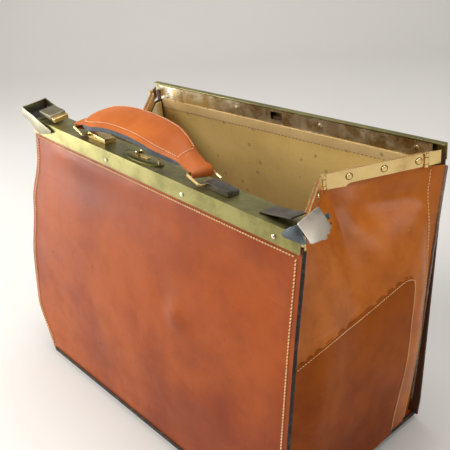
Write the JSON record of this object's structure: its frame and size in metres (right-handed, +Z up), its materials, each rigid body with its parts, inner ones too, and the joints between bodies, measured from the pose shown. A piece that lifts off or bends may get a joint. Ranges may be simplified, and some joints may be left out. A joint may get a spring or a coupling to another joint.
{
  "type": "doctor bag",
  "caption": "Leather doctor bag standing open: hinged brass mouth frame with folding side links, soft gusseted ends, stitched arched handle, centre lock and end clasps.",
  "frame": {"origin": "middle of the bottom face of the centre base stud", "axes": "+X along the bag to its right end as seen from the front, +Y to the back, +Z up"},
  "size_m": [0.4537, 0.2537, 0.356],
  "materials": {
    "cognac_leather": "polished grain",
    "tan_leather": "polished grain",
    "lining_suede": "matte",
    "fibre_board": "matte",
    "aged_brass": "aged satin",
    "bright_brass": "satin",
    "dark_steel": "aged satin",
    "handle_leather": "worn",
    "edge_dye": "dyed edge"
  },
  "bodies": {
    "bag_body": {"front_panel": "cognac_leather", "front_lining": "lining_suede", "base_panel": "cognac_leather", "base_board": "fibre_board", "base_stud_1": "bright_brass", "base_stud_2": "bright_brass", "base_stud_3": "bright_brass", "base_stud_4": "bright_brass", "base_stud_5": "bright_brass", "gusset_right": "tan_leather", "gusset_left": "tan_leather", "gusset_lining_right": "lining_suede", "gusset_lining_left": "lining_suede", "front_rail": "aged_brass", "front_inner_strip": "bright_brass", "front_lug_right": "bright_brass", "front_lug_left": "bright_brass", "front_pin_right": "bright_brass", "front_pin_left": "bright_brass", "handle_mount_left": "bright_brass", "handle_mount_right": "dark_steel", "lock_plate": "aged_brass", "lock_case": "dark_steel", "clasp_pin_right": "dark_steel", "clasp_pin_left": "dark_steel"},
    "rear_leather": {"rear_panel": "cognac_leather", "rear_lining": "lining_suede"},
    "front_link_right": {"link_front_right": "bright_brass", "link_inner_front_right": "bright_brass", "knee_pin_right": "bright_brass"},
    "rear_link_right": {"link_rear_right": "bright_brass", "link_inner_rear_right": "bright_brass"},
    "rear_frame": {"rear_rail": "aged_brass", "rear_inner_strip": "bright_brass", "rear_corner_right": "bright_brass", "rear_corner_left": "bright_brass", "rear_pin_right": "bright_brass", "rear_pin_left": "bright_brass"},
    "front_link_left": {"link_front_left": "bright_brass", "link_inner_front_left": "bright_brass", "knee_pin_left": "bright_brass"},
    "rear_link_left": {"link_rear_left": "bright_brass", "link_inner_rear_left": "bright_brass"},
    "handle_ring_left": {"handle_ring_left": "bright_brass"},
    "handle": {"handle_strap": "handle_leather", "handle_underside": "edge_dye"},
    "handle_ring_right": {"handle_ring_right": "bright_brass"},
    "clasp_right": {"clasp_cap_right": "dark_steel"},
    "clasp_left": {"clasp_cap_left": "dark_steel"},
    "clasp_lever_right": {"clasp_lever_right": "dark_steel"},
    "clasp_lever_left": {"clasp_lever_left": "dark_steel"},
    "lock_bolt": {"lock_bolt": "dark_steel"},
    "keyhole_cover": {"keyhole_cover": "bright_brass"}
  },
  "joints": [
    {"name": "mouth_close", "type": "slide", "parent": "bag_body", "child": "rear_leather", "axis": [0.0434, -0.9991, 0], "range_m": [0, 0.17221], "deforming": ["rear_panel", "rear_lining", "gusset_right", "gusset_left", "gusset_lining_right", "gusset_lining_left"]},
    {"name": "front_corner_right", "type": "hinge", "parent": "bag_body", "child": "front_link_right", "pos_m": [0.2002, -0.062, 0.3055], "axis": [0, -0.0485, 0.9988], "range_deg": [0, 57.49]},
    {"name": "knee_right", "type": "hinge", "parent": "front_link_right", "child": "rear_link_right", "pos_m": [0.145, 0.02663, 0.3098], "axis": [0, -0.0485, 0.9988], "range_deg": [-114.97, 0]},
    {"name": "rear_corner_right", "type": "hinge", "parent": "rear_link_right", "child": "rear_frame", "pos_m": [0.19396, 0.11883, 0.31428], "axis": [-0.0174, -0.0194, 0.9997], "range_deg": [0, 53.57]},
    {"name": "front_corner_left", "type": "hinge", "parent": "bag_body", "child": "front_link_left", "pos_m": [-0.2002, -0.062, 0.3055], "axis": [0, 0.031, 0.9995], "range_deg": [-44.89, 0]},
    {"name": "knee_left", "type": "hinge", "parent": "front_link_left", "child": "rear_link_left", "pos_m": [-0.13217, 0.01728, 0.30304], "axis": [0, 0.031, 0.9995], "range_deg": [0, 89.77]},
    {"name": "handle_swing", "type": "hinge", "parent": "bag_body", "child": "handle_ring_left", "pos_m": [-0.108, -0.05766, 0.32164], "axis": [0, 0.9921, -0.1253], "range_deg": [0, 146]},
    {"name": "handle_on_ring", "type": "hinge", "parent": "handle_ring_left", "child": "handle", "pos_m": [-0.1276, -0.05691, 0.32759], "axis": [0, 0.9921, -0.1253], "range_deg": [-146, 0]},
    {"name": "handle_ring_right_swing", "type": "hinge", "parent": "bag_body", "child": "handle_ring_right", "pos_m": [0.084, -0.05766, 0.32164], "axis": [0, 0.9921, -0.1253], "range_deg": [0, 146]},
    {"name": "clasp_right_swing", "type": "hinge", "parent": "bag_body", "child": "clasp_right", "pos_m": [0.2, -0.07505, 0.3196], "axis": [0, 0.9921, -0.1253], "range_deg": [-40, 37]},
    {"name": "clasp_left_swing", "type": "hinge", "parent": "bag_body", "child": "clasp_left", "pos_m": [-0.2, -0.07505, 0.3196], "axis": [0, 0.9921, -0.1253], "range_deg": [-10, 45]},
    {"name": "lever_right_lift", "type": "hinge", "parent": "bag_body", "child": "clasp_lever_right", "pos_m": [0.155, -0.0576, 0.3181], "axis": [0, 0.9921, -0.1253], "range_deg": [-30, 8.5]},
    {"name": "lever_left_lift", "type": "hinge", "parent": "bag_body", "child": "clasp_lever_left", "pos_m": [-0.171, -0.06008, 0.31842], "axis": [0, 0.9921, -0.1253], "range_deg": [0, 35]},
    {"name": "lock_bolt_slide", "type": "slide", "parent": "bag_body", "child": "lock_bolt", "axis": [0, 0.9921, -0.1253], "range_m": [0, 0.0115]},
    {"name": "keyhole_cover_swivel", "type": "hinge", "parent": "bag_body", "child": "keyhole_cover", "pos_m": [-0.018, -0.05987, 0.3201], "axis": [0, 0.1253, 0.9921], "range_deg": [0, 100]}
  ],
  "couplings": [
    {"joint": "front_corner_right", "follows": "mouth_close", "rad_per_m": 5.8257},
    {"joint": "knee_right", "follows": "mouth_close", "rad_per_m": -11.651},
    {"joint": "rear_corner_right", "follows": "mouth_close", "rad_per_m": 5.4281},
    {"joint": "front_corner_left", "follows": "mouth_close", "rad_per_m": -4.5486},
    {"joint": "knee_left", "follows": "mouth_close", "rad_per_m": 9.0971},
    {"joint": "handle_on_ring", "follows": "handle_swing", "ratio": -1},
    {"joint": "handle_ring_right_swing", "follows": "handle_swing", "ratio": 1}
  ]
}
